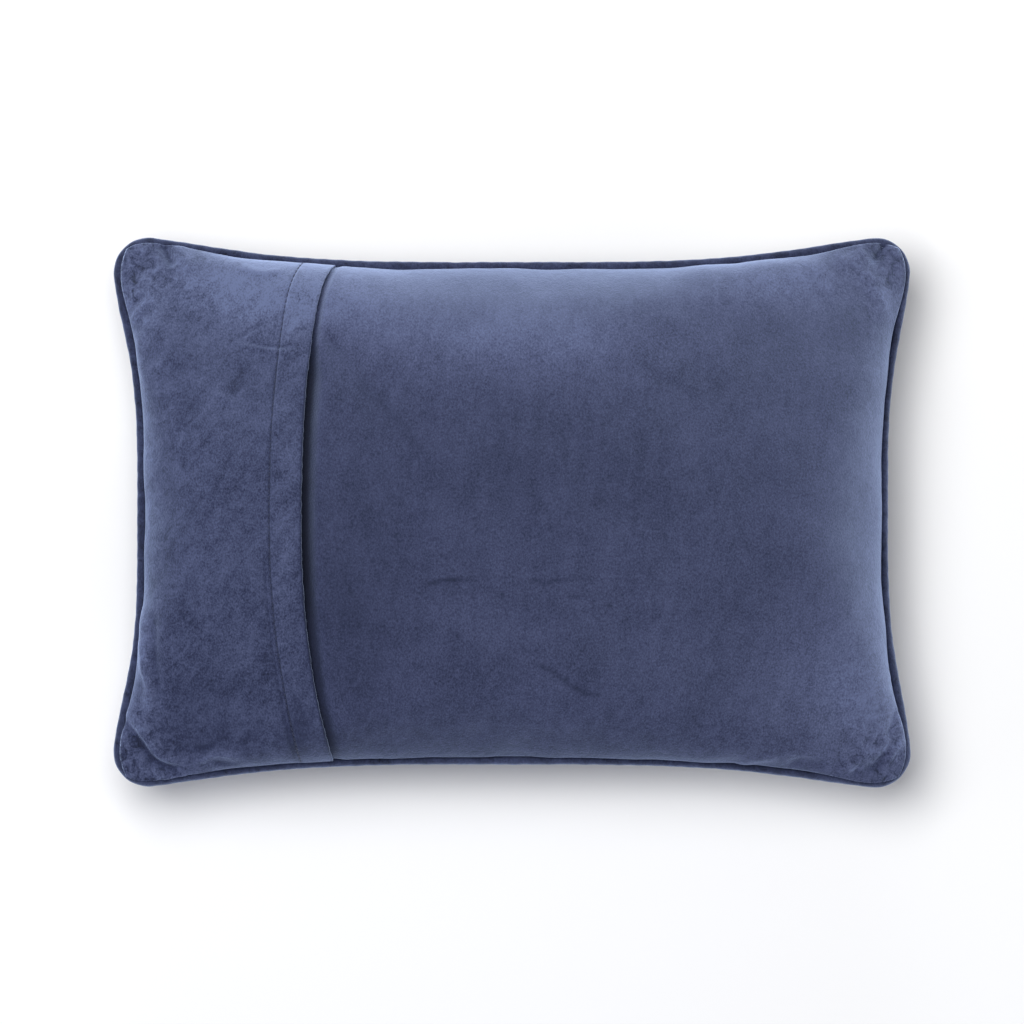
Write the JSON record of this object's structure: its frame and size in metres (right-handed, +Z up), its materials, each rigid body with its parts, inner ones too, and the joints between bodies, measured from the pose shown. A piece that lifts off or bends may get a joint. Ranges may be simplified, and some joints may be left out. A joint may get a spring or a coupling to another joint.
{
  "type": "piped needlepoint pillow with an envelope velvet back",
  "caption": "Filled lumbar pillow with a needlepoint front, a velvet back closed by a hemmed flap, and piping round the seam.",
  "frame": {"origin": "on the surface that the pillow lies on, under the middle of its outline", "axes": "+X along the length, away from the hemmed flap; +Y across the width; +Z up, out of the velvet back"},
  "size_m": [0.4998, 0.3444, 0.1204],
  "materials": {
    "velvet": "short-pile cotton velvet, indigo blue, brushed unevenly",
    "needlepoint": "wool tent stitch on canvas, plain indigo",
    "piping": "bias velvet over a cotton cord, darker than the panels"
  },
  "bodies": {
    "root": {"cushion": "velvet", "flap_panel": "velvet", "front_panel": "needlepoint", "piping": "piping"}
  },
  "joints": []
}
